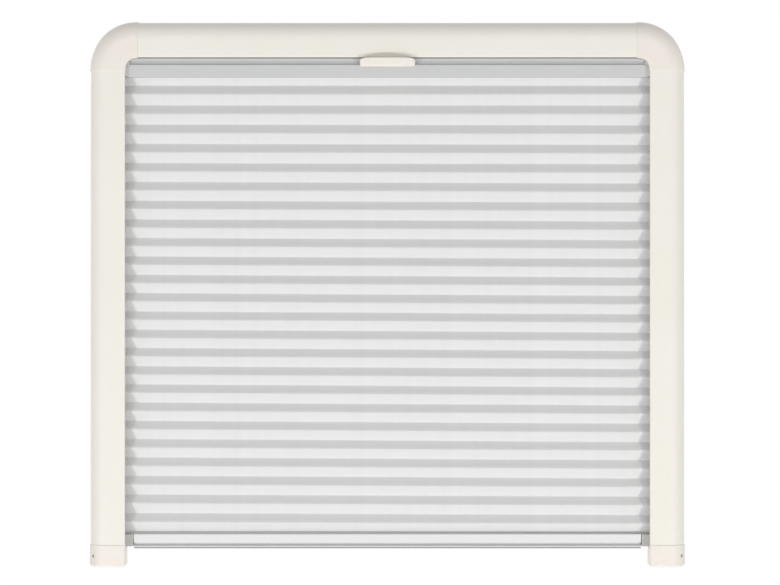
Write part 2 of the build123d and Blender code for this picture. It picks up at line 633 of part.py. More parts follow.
def main():
    """Build every piece and write it."""
    os.makedirs("parts", exist_ok=True)
    save("top_profile", top_profile())
    save_pair("side_rail", side_rail())
    save_pair("corner_joint", corner_joint())
    save_pair("end_cap", end_cap())
    save("bottom_rail", bottom_rail())
    save("bottom_seal", bottom_seal())
    save_pair("bottom_plug", bottom_plug())
    save("pull_bar", pull_bar())
    save_pair("guide_shoe", guide_shoe())
    save("grip", grip())
    save("night_blind", night_blind())
    save("day_screen", day_screen())
    strip_rise = BAR_WALL + FIT_GAP
    strip_top = BAR_WALL + POCKET_HEIGHT - FIT_GAP
    rail_top = BOTTOM_RAIL_TOP_Z
    save("cloth_head_strip", clip_strip(HEAD_SLOT, PULL_BAR_Z + strip_rise, PULL_BAR_Z + strip_top))
    save("screen_foot_strip", clip_strip(BAR_MID, PULL_BAR_TOP_Z - strip_top, PULL_BAR_TOP_Z - strip_rise))
    save("cloth_foot_strip", clip_strip(FOOT_SLOT, rail_top - strip_top, rail_top - strip_rise))
    save("screen_head_strip", screen_head_strip())
    save_pair("tension_cord", tension_cord())
    save_pair("cord_anchor", cord_anchor())
    save_pair("tension_buffer", tension_buffer())
    save_pair("cord_ferrule", cord_ferrule())
    save_group("cap_screws", [cap_screw(), mirrored(cap_screw())])
    print("pull bar travel", PULL_BAR_Z - BOTTOM_RAIL_TOP_Z - CLOTH_STACK)


main()
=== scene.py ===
import json
import logging
from dataclasses import dataclass
from enum import Enum
from math import hypot, pi, radians

import bmesh
import bpy
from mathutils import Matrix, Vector

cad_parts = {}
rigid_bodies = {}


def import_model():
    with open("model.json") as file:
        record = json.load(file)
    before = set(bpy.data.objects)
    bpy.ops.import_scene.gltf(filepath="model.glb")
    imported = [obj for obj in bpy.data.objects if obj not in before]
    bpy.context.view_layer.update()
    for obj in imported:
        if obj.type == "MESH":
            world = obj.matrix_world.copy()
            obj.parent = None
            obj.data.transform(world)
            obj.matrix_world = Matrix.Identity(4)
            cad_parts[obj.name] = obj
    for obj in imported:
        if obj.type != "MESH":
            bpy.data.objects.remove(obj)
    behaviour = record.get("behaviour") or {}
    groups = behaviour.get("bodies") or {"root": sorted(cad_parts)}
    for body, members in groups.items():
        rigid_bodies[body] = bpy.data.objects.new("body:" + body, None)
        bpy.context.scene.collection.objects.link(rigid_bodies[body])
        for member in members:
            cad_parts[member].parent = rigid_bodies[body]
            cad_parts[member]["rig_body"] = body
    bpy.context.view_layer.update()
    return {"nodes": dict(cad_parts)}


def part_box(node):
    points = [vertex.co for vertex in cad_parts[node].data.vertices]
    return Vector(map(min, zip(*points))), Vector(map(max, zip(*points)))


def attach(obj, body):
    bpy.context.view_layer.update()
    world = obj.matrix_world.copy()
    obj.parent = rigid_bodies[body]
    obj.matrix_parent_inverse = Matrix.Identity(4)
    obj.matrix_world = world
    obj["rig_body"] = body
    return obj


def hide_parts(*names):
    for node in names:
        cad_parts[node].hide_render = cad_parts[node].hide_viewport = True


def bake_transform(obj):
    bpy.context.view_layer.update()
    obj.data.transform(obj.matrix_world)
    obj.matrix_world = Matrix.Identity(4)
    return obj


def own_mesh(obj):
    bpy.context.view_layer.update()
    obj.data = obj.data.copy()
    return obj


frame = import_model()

LOG = logging.getLogger("blind")
MM = 0.001

# What the fixed body is called in the frame
FIXED = "fixed_frame"

# The sRGB curve: straight up to the knee, and a power above it
SRGB_KNEE, SRGB_SLOPE, SRGB_OFFSET, SRGB_POWER = 0.04045, 12.92, 0.055, 2.4

# Sockets of a colour Mix node, whose names are not unique
MIX_FACTOR, MIX_A, MIX_B, MIX_RESULT = 0, 6, 7, 2

# A Wave texture of scale 1 repeats at this length
WAVE_LENGTH = pi / 10

# How copies of the CAD solids are cleaned: points closer than this are one, faces this near to flat are
# one, and an edge that turns more than this is sharp. A softened edge has this many faces.
WELD = 0.002 * MM
FLAT_TURN = radians(0.5)
SHARP_TURN = radians(28)
EDGE_FACES = 2

# What each point of a cloth keeps for its finish: its place on the flat cloth, and how far it lies behind
# the front folds, which the cloth's colour turns into painted shade and painted light
FLAT_MAP = "UVMap"
FOLD_GAP = "fold_gap"

# The grid that becomes a cloth has length 1, so that its rows count shares of the way down. Each pleat has
# two flanks.
GRID_LENGTH = 1.0
FLANKS = 2.0

# These bring x(1 - x), highest in the middle, and x(1 - x)^2, highest at a third, to 1 where they peak
MIDDLE_SCALE = 4.0
SAG_SCALE = 27 / 4

# How fast the folds come loose away from the bars, and how fast their slope comes on the way down
LOOSE_POWER = 0.3
SLACK_POWER = 3.0

# The sums that fold a cloth. Each has its operation and its terms: numbers, group inputs (in capitals),
# facts of the grid, or sums above it.
PLEAT_SUMS: dict[str, tuple[str | float, ...]] = {
    # Where a point lies in the row of pleats, counted from the top
    "fall": ("SUBTRACT", GRID_LENGTH / 2, "grid rise"),
    "up share": ("SUBTRACT", 1.0, "Down Share"),
    "head": ("MULTIPLY", "Down Share", "Head Share"),
    "foot": ("MULTIPLY", "up share", "Foot Share"),
    "ends": ("ADD", "head", "foot"),
    "pleats": ("ADD", "Pleats", "ends"),
    "count": ("MULTIPLY", "fall", "pleats"),
    "skipped": ("SUBTRACT", "Down Share", "head"),
    "turns": ("ADD", "count", "skipped"),
    "phase": ("FRACT", "turns"),
    # How far it lies behind the front folds, as a share of the depth; the front folds are rounded
    "down": ("DIVIDE", "phase", "Down Share"),
    "down left": ("SUBTRACT", 1.0, "down"),
    "past down": ("SUBTRACT", "phase", "Down Share"),
    "up": ("DIVIDE", "past down", "up share"),
    "from back": ("MAXIMUM", "down left", "up"),
    "gap": ("SUBTRACT", 1.0, "from back"),
    "gap square": ("MULTIPLY", "gap", "gap"),
    "round square": ("MULTIPLY", "Fold Round", "Fold Round"),
    "set back square": ("ADD", "gap square", "round square"),
    "set back": ("SQRT", "set back square"),
    "forward": ("SUBTRACT", 0.5, "set back"),
    "from wall": ("MULTIPLY_ADD", "forward", "Depth", "Middle"),
    "into wall": ("MULTIPLY", "from wall", -1.0),
    # Its level. A packed cloth lies closer in the middle of its pack, so that it opens evenly: the lean runs
    # from 1 to -1, and the sine of a third of its arc from a half to minus a half
    "lean": ("MULTIPLY_ADD", "fall", -2.0, 1.0),
    "lean turn": ("ARCSINE", "lean"),
    "third": ("DIVIDE", "lean turn", 3.0),
    "bowed": ("SINE", "third"),
    "close": ("SUBTRACT", 0.5, "bowed"),
    "closing": ("SUBTRACT", "close", "fall"),
    "settled": ("MULTIPLY_ADD", "closing", "Packed", "fall"),
    "height": ("SUBTRACT", "Top", "Bottom"),
    "lowered": ("MULTIPLY", "settled", "height"),
    "level": ("SUBTRACT", "Top", "lowered"),
    # Its own weight opens the upper pleats, and sinks the cloth most a third of the way down
    "rest": ("SUBTRACT", 1.0, "fall"),
    "middle": ("MULTIPLY", "fall", "rest"),
    "upper middle": ("MULTIPLY", "middle", "rest"),
    "sag share": ("MULTIPLY", "upper middle", SAG_SCALE),
    "sunk": ("MULTIPLY", "sag share", "Sag"),
    "hung": ("SUBTRACT", "level", "sunk"),
    # Each fold sways along its length and hangs lower to one side, least at the two bars
    "middle share": ("MULTIPLY", "middle", MIDDLE_SCALE),
    "loose": ("POWER", "middle share", LOOSE_POWER),
    "wander": ("SUBTRACT", "drift", 0.5),
    "wave": ("MULTIPLY", "wander", "Sway"),
    "aside": ("DIVIDE", "along", "Width"),
    "slope": ("MULTIPLY", "aside", "Tilt"),
    "tight": ("POWER", "rest", SLACK_POWER),
    "slack": ("SUBTRACT", 1.0, "tight"),
    "droop": ("MULTIPLY", "slope", "slack"),
    "shift": ("SUBTRACT", "wave", "droop"),
    "sway": ("MULTIPLY", "shift", "loose"),
    "upright": ("ADD", "hung", "sway"),
    # How far down the flat cloth its threads are
    "pitch": ("DIVIDE", "height", "pleats"),
    "rise": ("DIVIDE", "pitch", FLANKS),
    "rise square": ("MULTIPLY", "rise", "rise"),
    "depth square": ("MULTIPLY", "Depth", "Depth"),
    "flank square": ("ADD", "rise square", "depth square"),
    "flank": ("SQRT", "flank square"),
    "flanks": ("MULTIPLY", "count", FLANKS),
    "thread": ("MULTIPLY", "flanks", "flank"),
}


class Side(Enum):
    """The two sides of the blind, as seen from the room."""

    LEFT = "left"
    RIGHT = "right"

    def node(self, name: str) -> str:
        """Name of this side's CAD node."""
        return f"{self.value}_{name}"


def linear(code: str) -> tuple[float, float, float, float]:
    """Turn an sRGB hex colour into linear RGBA.

    Args:
        code: six hex digits after a hash sign.

    Returns:
        The colour with full alpha.
    """
    channels = [int(code[start:start + 2], 16) / 255 for start in (1, 3, 5)]
    steps = [
        c / SRGB_SLOPE if c <= SRGB_KNEE else ((c + SRGB_OFFSET) / (1 + SRGB_OFFSET)) ** SRGB_POWER
        for c in channels
    ]
    return (*steps, 1.0)


def per_mm(size: float) -> float:
    """Texture scale of a pattern that repeats each size millimetres."""
    return 1 / (size * MM)


def add_node(
    tree: bpy.types.NodeTree, kind: str, inputs: dict[str | int, object] | None = None, **settings: str
) -> bpy.types.Node:
    """Add a node with its settings, input values and links.

    Args:
        tree: the tree that takes the node.
        kind: the node's type name.
        inputs: a value, or the output socket that feeds it, by the input's name or number.
        **settings: properties of the node itself.

    Returns:
        The new node.
    """
    node = tree.nodes.new(kind)
    for name, value in settings.items():
        setattr(node, name, value)
    for key, value in (inputs or {}).items():
        if isinstance(value, bpy.types.NodeSocket):
            tree.links.new(value, node.inputs[key])
        else:
            node.inputs[key].default_value = value
    return node


def empty_material(name: str) -> tuple[bpy.types.Material, bpy.types.NodeTree]:
    """Make a material without nodes.

    Args:
        name: the real material's name.

    Returns:
        The material and its tree.
    """
    material = bpy.data.materials.new(name)
    material.use_nodes = True
    material.node_tree.nodes.clear()
    return material, material.node_tree


@dataclass(frozen=True)
class PowderCoat:
    """Cream powder coat on extruded aluminium: baked paint with a fine orange peel and a satin gloss."""

    name: str = "powder_coated_aluminium"
    colour: str = "#EEEBE3"
    shade: str = "#EAE6DC"
    roughness: float = 0.42
    gloss_spread: float = 0.05
    cloud_mm: float = 90.0
    cloud_detail: float = 2.0
    peel_mm: float = 1.6
    peel_detail: float = 1.0
    peel_height_mm: float = 0.1
    peel_strength: float = 0.5

    def material(self) -> bpy.types.Material:
        """Build the finish.

        Returns:
            The material.
        """
        material, tree = empty_material(self.name)
        place = add_node(tree, "ShaderNodeTexCoord").outputs["Object"]
        cloud = add_node(
            tree, "ShaderNodeTexNoise",
            {"Vector": place, "Scale": per_mm(self.cloud_mm), "Detail": self.cloud_detail},
        )
        tint = add_node(
            tree, "ShaderNodeMix",
            {MIX_FACTOR: cloud.outputs["Fac"], MIX_A: linear(self.colour), MIX_B: linear(self.shade)},
            data_type="RGBA",
        )
        peel = add_node(
            tree, "ShaderNodeTexNoise",
            {"Vector": place, "Scale": per_mm(self.peel_mm), "Detail": self.peel_detail},
        )
        gloss = add_node(
            tree, "ShaderNodeMapRange",
            {
                "Value": peel.outputs["Fac"],
                "To Min": self.roughness - self.gloss_spread,
                "To Max": self.roughness + self.gloss_spread,
            },
        )
        bump = add_node(
            tree, "ShaderNodeBump",
            {
                "Height": peel.outputs["Fac"],
                "Strength": self.peel_strength,
                "Distance": self.peel_height_mm * MM,
            },
        )
        shader = add_node(
            tree, "ShaderNodeBsdfPrincipled",
            {
                "Base Color": tint.outputs[MIX_RESULT],
                "Roughness": gloss.outputs["Result"],
                "Normal": bump.outputs["Normal"],
            },
        )
        add_node(tree, "ShaderNodeOutputMaterial", {"Surface": shader.outputs["BSDF"]})
        return material


@dataclass(frozen=True)
class MouldedPlastic:
    """Moulded plastic: an eroded mould leaves a fine grain, and the colour clouds where it flowed.

    The grain is drawn about three times as coarse as it is, so that it shows.
    """

    name: str
    colour: str
    shade: str
    roughness: float = 0.5
    ior: float = 1.53
    cloud_mm: float = 25.0
    cloud_detail: float = 3.0
    grain_mm: float = 0.7
    grain_height_mm: float = 0.05
    grain_strength: float = 0.6

    def material(self) -> bpy.types.Material:
        """Build the finish.

        Returns:
            The material.
        """
        material, tree = empty_material(self.name)
        place = add_node(tree, "ShaderNodeTexCoord").outputs["Object"]
        cloud = add_node(
            tree, "ShaderNodeTexNoise",
            {"Vector": place, "Scale": per_mm(self.cloud_mm), "Detail": self.cloud_detail},
        )
        tint = add_node(
            tree, "ShaderNodeMix",
            {MIX_FACTOR: cloud.outputs["Fac"], MIX_A: linear(self.colour), MIX_B: linear(self.shade)},
            data_type="RGBA",
        )
        grain = add_node(tree, "ShaderNodeTexVoronoi", {"Vector": place, "Scale": per_mm(self.grain_mm)})
        bump = add_node(
            tree, "ShaderNodeBump",
            {
                "Height": grain.outputs["Distance"],
                "Strength": self.grain_strength,
                "Distance": self.grain_height_mm * MM,
            },
        )
        shader = add_node(
            tree, "ShaderNodeBsdfPrincipled",
            {
                "Base Color": tint.outputs[MIX_RESULT],
                "Roughness": self.roughness,
                "IOR": self.ior,
                "Normal": bump.outputs["Normal"],
            },
        )
        add_node(tree, "ShaderNodeOutputMaterial", {"Surface": shader.outputs["BSDF"]})
        return material


@dataclass(frozen=True)
class SatinAluminium:
    """Aluminium with a satin silver coat: a soft half-metal sheen with faint draw lines along the bar.

    The lines are drawn a few times as coarse as they are, so that they show.
    """

    name: str
    colour: str
    shade: str
    roughness: float = 0.5
    gloss_spread: float = 0.06
    metallic: float = 0.3
    line_mm: float = 0.5
    line_detail: float = 2.0
    line_stretch: float = 0.004
    line_height_mm: float = 0.02
    line_strength: float = 0.3

    def material(self) -> bpy.types.Material:
        """Build the finish.

        Returns:
            The material.
        """
        material, tree = empty_material(self.name)
        place = add_node(tree, "ShaderNodeTexCoord").outputs["Object"]
        drawn = add_node(
            tree, "ShaderNodeMapping", {"Vector": place, "Scale": (self.line_stretch, 1.0, 1.0)}
        )
        lines = add_node(
            tree, "ShaderNodeTexNoise",
            {
                "Vector": drawn.outputs["Vector"],
                "Scale": per_mm(self.line_mm),
                "Detail": self.line_detail,
            },
        )
        tint = add_node(
            tree, "ShaderNodeMix",
            {MIX_FACTOR: lines.outputs["Fac"], MIX_A: linear(self.colour), MIX_B: linear(self.shade)},
            data_type="RGBA",
        )
        gloss = add_node(
            tree, "ShaderNodeMapRange",
            {
                "Value": lines.outputs["Fac"],
                "To Min": self.roughness - self.gloss_spread,
                "To Max": self.roughness + self.gloss_spread,
            },
        )
        bump = add_node(
            tree, "ShaderNodeBump",
            {
                "Height": lines.outputs["Fac"],
                "Strength": self.line_strength,
                "Distance": self.line_height_mm * MM,
            },
        )
        shader = add_node(
            tree, "ShaderNodeBsdfPrincipled",
            {
                "Base Color": tint.outputs[MIX_RESULT],
                "Metallic": self.metallic,
                "Roughness": gloss.outputs["Result"],
                "Normal": bump.outputs["Normal"],
            },
        )
        add_node(tree, "ShaderNodeOutputMaterial", {"Surface": shader.outputs["BSDF"]})
        return material


@dataclass(frozen=True)
class CoatedCloth:
    """Coated polyester pleating: a tight plain weave with a pale metal coat, ironed hard along the folds.

    Its colour holds painted shade towards the front folds, painted light towards the back folds and a
    painted highlight along the back creases. The thread is drawn several times as coarse as it is, so
    that it shows.
    """

    name: str = "coated_polyester_pleating"
    front_fold_painted_shade: str = "#DBDBDA"
    back_fold_painted_light: str = "#E0E0E0"
    back_crease_painted_highlight: str = "#E9E9E9"
    mottle_shade: str = "#F6F6F6"
    crease_highlight_power: float = 12.0
    roughness: float = 0.62
    sheen: float = 1.0
    sheen_roughness: float = 0.3
    mottle_mm: float = 14.0
    mottle_detail: float = 4.0
    thread_mm: float = 1.8
    weave_distortion: float = 0.4
    weave_height_mm: float = 0.05
    weave_strength: float = 0.7

    def material(self) -> bpy.types.Material:
        """Build the finish.

        Returns:
            The material.
        """
        material, tree = empty_material(self.name)
        place = add_node(tree, "ShaderNodeUVMap", uv_map=FLAT_MAP).outputs["UV"]
        gap = add_node(tree, "ShaderNodeAttribute", attribute_name=FOLD_GAP).outputs["Fac"]
        # Painted shade at the front folds runs into painted light at the back folds
        tone = add_node(
            tree, "ShaderNodeMix",
            {MIX_FACTOR: gap, MIX_A: linear(self.front_fold_painted_shade), MIX_B: linear(self.back_fold_painted_light)},
            data_type="RGBA",
        )
        # A painted highlight along the back creases
        crease = add_node(tree, "ShaderNodeMath", {0: gap, 1: self.crease_highlight_power}, operation="POWER")
        ironed = add_node(
            tree, "ShaderNodeMix",
            {
                MIX_FACTOR: crease.outputs["Value"],
                MIX_A: tone.outputs[MIX_RESULT],
                MIX_B: linear(self.back_crease_painted_highlight),
            },
            data_type="RGBA",
        )
        mottle = add_node(
            tree, "ShaderNodeTexNoise",
            {"Vector": place, "Scale": per_mm(self.mottle_mm), "Detail": self.mottle_detail},
        )
        tint = add_node(
            tree, "ShaderNodeMix",
            {
                MIX_FACTOR: mottle.outputs["Fac"],
                MIX_A: ironed.outputs[MIX_RESULT],
                MIX_B: linear(self.mottle_shade),
            },
            data_type="RGBA", blend_type="MULTIPLY",
        )
        warp, weft = [
            add_node(
                tree, "ShaderNodeTexWave",
                {
                    "Vector": place,
                    "Scale": per_mm(self.thread_mm) * WAVE_LENGTH,
                    "Distortion": self.weave_distortion,
                },
                bands_direction=way,
            )
            for way in ("X", "Y")
        ]
        weave = add_node(
            tree, "ShaderNodeMath", {0: warp.outputs["Fac"], 1: weft.outputs["Fac"]}, operation="MULTIPLY"
        )
        bump = add_node(
            tree, "ShaderNodeBump",
            {
                "Height": weave.outputs["Value"],
                "Strength": self.weave_strength,
                "Distance": self.weave_height_mm * MM,
            },
        )
        shader = add_node(
            tree, "ShaderNodeBsdfPrincipled",
            {
                "Base Color": tint.outputs[MIX_RESULT],
                "Roughness": self.roughness,
                "Sheen Weight": self.sheen,
                "Sheen Roughness": self.sheen_roughness,
                "Normal": bump.outputs["Normal"],
            },
        )
        add_node(tree, "ShaderNodeOutputMaterial", {"Surface": shader.outputs["BSDF"]})
        return material


@dataclass(frozen=True)
class PleatedNet:
    """Pleated insect net: thin grey glass-fibre threads with open meshes between them.

    The threads are drawn a little thicker than they are, so that they show.
    """

    name: str = "pleated_insect_net"
    colour: str = "#8E9092"
    shade: str = "#7F8184"
    roughness: float = 0.6
    tone_mm: float = 6.0
    mesh_mm: float = 1.4
    thread_share: float = 0.42

    def material(self) -> bpy.types.Material:
        """Build the finish.

        Returns:
            The material.
        """
        material, tree = empty_material(self.name)
        place = add_node(tree, "ShaderNodeUVMap", uv_map=FLAT_MAP).outputs["UV"]
        scaled = add_node(
            tree, "ShaderNodeVectorMath", {0: place, 1: (per_mm(self.mesh_mm),) * 3}, operation="MULTIPLY"
        )
        cell = add_node(tree, "ShaderNodeVectorMath", {0: scaled.outputs["Vector"]}, operation="FRACTION")
        parts = add_node(tree, "ShaderNodeSeparateXYZ", {0: cell.outputs["Vector"]})
        nearest = add_node(
            tree, "ShaderNodeMath", {0: parts.outputs["X"], 1: parts.outputs["Y"]}, operation="MINIMUM"
        )
        thread = add_node(
            tree, "ShaderNodeMath", {0: nearest.outputs["Value"], 1: self.thread_share},
            operation="LESS_THAN",
        )
        tone = add_node(tree, "ShaderNodeTexNoise", {"Vector": place, "Scale": per_mm(self.tone_mm)})
        tint = add_node(
            tree, "ShaderNodeMix",
            {MIX_FACTOR: tone.outputs["Fac"], MIX_A: linear(self.colour), MIX_B: linear(self.shade)},
            data_type="RGBA",
        )
        shader = add_node(
            tree, "ShaderNodeBsdfPrincipled",
            {
                "Base Color": tint.outputs[MIX_RESULT],
                "Roughness": self.roughness,
                "Alpha": thread.outputs["Value"],
            },
        )
        add_node(tree, "ShaderNodeOutputMaterial", {"Surface": shader.outputs["BSDF"]})
        return material


@dataclass(frozen=True)
class BraidedCord:
    """Braided polyester cord: crossing strands that show as small slanted lights and darks."""

    name: str = "braided_polyester_cord"
    colour: str = "#E4E3DF"
    shade: str = "#C9C7C1"
    roughness: float = 0.8
    strand_mm: float = 1.2
    strand_height_mm: float = 0.1
    strand_strength: float = 0.4

    def material(self) -> bpy.types.Material:
        """Build the finish.

        Returns:
            The material.
        """
        material, tree = empty_material(self.name)
        place = add_node(tree, "ShaderNodeTexCoord").outputs["Object"]
        strands = add_node(
            tree, "ShaderNodeTexWave", {"Vector": place, "Scale": per_mm(self.strand_mm) * WAVE_LENGTH},
            bands_direction="DIAGONAL",
        )
        tint = add_node(
            tree, "ShaderNodeMix",
            {MIX_FACTOR: strands.outputs["Fac"], MIX_A: linear(self.colour), MIX_B: linear(self.shade)},
            data_type="RGBA",
        )
        bump = add_node(
            tree, "ShaderNodeBump",
            {
                "Height": strands.outputs["Fac"],
                "Strength": self.strand_strength,
                "Distance": self.strand_height_mm * MM,
            },
        )
        shader = add_node(
            tree, "ShaderNodeBsdfPrincipled",
            {
                "Base Color": tint.outputs[MIX_RESULT],
                "Roughness": self.roughness,
                "Normal": bump.outputs["Normal"],
            },
        )
        add_node(tree, "ShaderNodeOutputMaterial", {"Surface": shader.outputs["BSDF"]})
        return material


@dataclass(frozen=True)
class SpeckledSolid:
    """A small plain-made part, such as rubber or zinc-plated steel, with a fine uneven skin.

    The specks are drawn a few times as coarse as they are, so that they show.
    """

    name: str
    colour: str
    shade: str
    roughness: float
    metallic: float = 0.0
    speck_mm: float = 0.8
    speck_detail: float = 3.0
    speck_height_mm: float = 0.05
    speck_strength: float = 0.1

    def material(self) -> bpy.types.Material:
        """Build the finish.

        Returns:
            The material.
        """
        material, tree = empty_material(self.name)
        place = add_node(tree, "ShaderNodeTexCoord").outputs["Object"]
        specks = add_node(
            tree, "ShaderNodeTexNoise",
            {"Vector": place, "Scale": per_mm(self.speck_mm), "Detail": self.speck_detail},
        )
        tint = add_node(
            tree, "ShaderNodeMix",
            {MIX_FACTOR: specks.outputs["Fac"], MIX_A: linear(self.colour), MIX_B: linear(self.shade)},
            data_type="RGBA",
        )
        bump = add_node(
            tree, "ShaderNodeBump",
            {
                "Height": specks.outputs["Fac"],
                "Strength": self.speck_strength,
                "Distance": self.speck_height_mm * MM,
            },
        )
        shader = add_node(
            tree, "ShaderNodeBsdfPrincipled",
            {
                "Base Color": tint.outputs[MIX_RESULT],
                "Metallic": self.metallic,
                "Roughness": self.roughness,
                "Normal": bump.outputs["Normal"],
            },
        )
        add_node(tree, "ShaderNodeOutputMaterial", {"Surface": shader.outputs["BSDF"]})
        return material


def link(piece: bpy.types.Object) -> bpy.types.Object:
    """Put a new piece in the scene and return it."""
    bpy.context.scene.collection.objects.link(piece)
    return piece


def settle(piece: bpy.types.Object) -> None:
    """Turn a piece's modifiers into a plain mesh.

    Args:
        piece: the piece, which keeps its place and loses its modifiers.
    """
    graph = bpy.context.evaluated_depsgraph_get()
    mesh = bpy.data.meshes.new_from_object(piece.evaluated_get(graph), depsgraph=graph)
    mesh.name = piece.name
    piece.modifiers.clear()
    piece.data = mesh


def dress_node(node: str, material: bpy.types.Material) -> None:
    """Give a CAD node, which keeps its shape, a better material.

    Args:
        node: the CAD node.
        material: its finish.
    """
    for slot in frame["nodes"][node].material_slots:
        slot.material = material
    LOG.info("%s keeps its solid", node)


def rounded_copy(node: str, material: bpy.types.Material, edge_mm: float = 0.0) -> None:
    """Stand a merged copy, smooth and perhaps with softened edges, in a CAD node's place.

    Args:
        node: the CAD node that the copy replaces.
        material: the finish of the copy.
        edge_mm: how wide each sharp edge is rounded, in millimetres; zero leaves the edges sharp.
    """
    source = frame["nodes"][node]
    name = f"{node}_soft"
    mesh = bpy.data.meshes.new(name)
    work = bmesh.new()
    work.from_mesh(source.data)
    bmesh.ops.remove_doubles(work, verts=work.verts, dist=WELD)
    bmesh.ops.dissolve_limit(work, angle_limit=FLAT_TURN, verts=work.verts, edges=work.edges)
    for face in work.faces:
        face.smooth = True
    for edge in work.edges:
        edge.smooth = edge.is_manifold and edge.calc_face_angle(pi) < SHARP_TURN
    work.to_mesh(mesh)
    work.free()
    mesh.materials.append(material)
    copy = link(bpy.data.objects.new(name, mesh))
    if edge_mm:
        bevel = copy.modifiers.new("edges", "BEVEL")
        bevel.width = edge_mm * MM
        bevel.segments = EDGE_FACES
        bevel.limit_method = "ANGLE"
        bevel.angle_limit = SHARP_TURN
        normals = copy.modifiers.new("normals", "WEIGHTED_NORMAL")
        normals.keep_sharp = False
        settle(copy)
    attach(copy, source["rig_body"])
    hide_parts(node)
    LOG.info("%s has edges rounded by %.2f mm", node, edge_mm)


@dataclass
class PleatTree:
    """Geometry Nodes tree for a pleated cloth: a grid that is folded to and fro on its way down."""

    name: str = "pleated_cloth"
    sway_scale: tuple[float, float, float] = (3.0, 18.0, 0.0)
    sway_detail: float = 1.0

    def build(self) -> bpy.types.NodeTree:
        """Build the tree, with named inputs for its sizes.

        Returns:
            The tree.
        """
        tree = bpy.data.node_groups.new(self.name, "GeometryNodeTree")
        face = tree.interface
        face.new_socket("Geometry", in_out="OUTPUT", socket_type="NodeSocketGeometry")
        for name in (
            "Width", "Top", "Bottom", "Depth", "Middle", "Down Share", "Head Share", "Foot Share",
            "Fold Round", "Packed", "Sag", "Sway", "Tilt",
        ):
            face.new_socket(name, in_out="INPUT", socket_type="NodeSocketFloat")
        for name in ("Pleats", "Columns", "Rows"):
            face.new_socket(name, in_out="INPUT", socket_type="NodeSocketInt")
        face.new_socket("Cloth", in_out="INPUT", socket_type="NodeSocketMaterial")
        given = add_node(tree, "NodeGroupInput").outputs

        # The cloth is a flat grid before the sums fold it
        grid = add_node(
            tree, "GeometryNodeMeshGrid",
            {
                "Size X": given["Width"], "Size Y": GRID_LENGTH,
                "Vertices X": given["Columns"], "Vertices Y": given["Rows"],
            },
        )
        spot = add_node(tree, "GeometryNodeInputPosition").outputs["Position"]
        parts = add_node(tree, "ShaderNodeSeparateXYZ", {0: spot}).outputs
        lookup = add_node(tree, "ShaderNodeVectorMath", {0: spot, 1: self.sway_scale}, operation="MULTIPLY")
        drift = add_node(
            tree, "ShaderNodeTexNoise",
            {"Vector": lookup.outputs["Vector"], "Scale": 1.0, "Detail": self.sway_detail},
        )
        known = {socket.name: socket for socket in given}
        known |= {"along": parts["X"], "grid rise": parts["Y"], "drift": drift.outputs["Fac"]}
        for name, (operation, *terms) in PLEAT_SUMS.items():
            inputs = {key: known.get(term, term) for key, term in enumerate(terms)}
            known[name] = add_node(tree, "ShaderNodeMath", inputs, operation=operation).outputs["Value"]

        # Each point goes to its fold, and keeps its place on the flat cloth for the threads
        place = add_node(
            tree, "ShaderNodeCombineXYZ",
            {"X": known["along"], "Y": known["into wall"], "Z": known["upright"]},
        )
        folded = add_node(
            tree, "GeometryNodeSetPosition",
            {"Geometry": grid.outputs["Mesh"], "Position": place.outputs["Vector"]},
        )
        flat = add_node(tree, "ShaderNodeCombineXYZ", {"X": known["along"], "Y": known["thread"]})
        mapped = add_node(
            tree, "GeometryNodeStoreNamedAttribute",
            {"Geometry": folded.outputs["Geometry"], "Name": FLAT_MAP, "Value": flat.outputs["Vector"]},
            data_type="FLOAT2", domain="CORNER",
        )
        # How far each point lies behind the front folds, for the cloth's painted shade and painted light
        marked = add_node(
            tree, "GeometryNodeStoreNamedAttribute",
            {"Geometry": mapped.outputs["Geometry"], "Name": FOLD_GAP, "Value": known["gap"]},
            data_type="FLOAT", domain="POINT",
        )
        smooth = add_node(tree, "GeometryNodeSetShadeSmooth", {"Geometry": marked.outputs["Geometry"]})
        real = add_node(tree, "GeometryNodeRealizeInstances", {"Geometry": smooth.outputs["Geometry"]})
        done = add_node(
            tree, "GeometryNodeSetMaterial",
            {"Geometry": real.outputs["Geometry"], "Material": given["Cloth"]},
        )
        add_node(tree, "NodeGroupOutput", {"Geometry": done.outputs["Geometry"]})
        return tree


@dataclass
class PleatedSheet:
    """One pleated cloth, made by the pleat tree."""

    name: str
    width: float
    top: float
    bottom: float
    depth: float
    middle: float
    pleats: int
    down_share: float
    head_share: float
    foot_share: float
    fold_round: float
    packed: float
    sag: float
    sway: float
    tilt: float
    columns: int
    rows_per_pleat: int

    def all_pleats(self) -> float:
        """Count the pleats with the part pleats at the head and the foot."""
        return self.pleats + self.down_share * self.head_share + (1 - self.down_share) * self.foot_share

    def build(self, tree: bpy.types.NodeTree, material: bpy.types.Material) -> bpy.types.Object:
        """Fold the cloth.

        Args:
            tree: the pleat tree.
            material: the cloth's finish.

        Returns:
            The cloth as a plain mesh.
        """
        sheet = link(bpy.data.objects.new(self.name, bpy.data.meshes.new(self.name)))
        modifier = sheet.modifiers.new("pleats", "NODES")
        modifier.node_group = tree
        sizes = {
            "Width": self.width, "Top": self.top, "Bottom": self.bottom, "Depth": self.depth,
            "Middle": self.middle, "Down Share": self.down_share, "Head Share": self.head_share,
            "Foot Share": self.foot_share, "Fold Round": self.fold_round, "Packed": self.packed,
            "Sag": self.sag, "Sway": self.sway, "Tilt": self.tilt, "Pleats": self.pleats,
            "Columns": self.columns, "Rows": round(self.all_pleats() * self.rows_per_pleat) + 1,
            "Cloth": material,
        }
        for item in tree.interface.items_tree:
            if item.in_out == "INPUT":
                modifier[item.identifier] = sizes[item.name]
        settle(sheet)
        LOG.info("%s has %d faces", self.name, len(sheet.data.polygons))
        return sheet


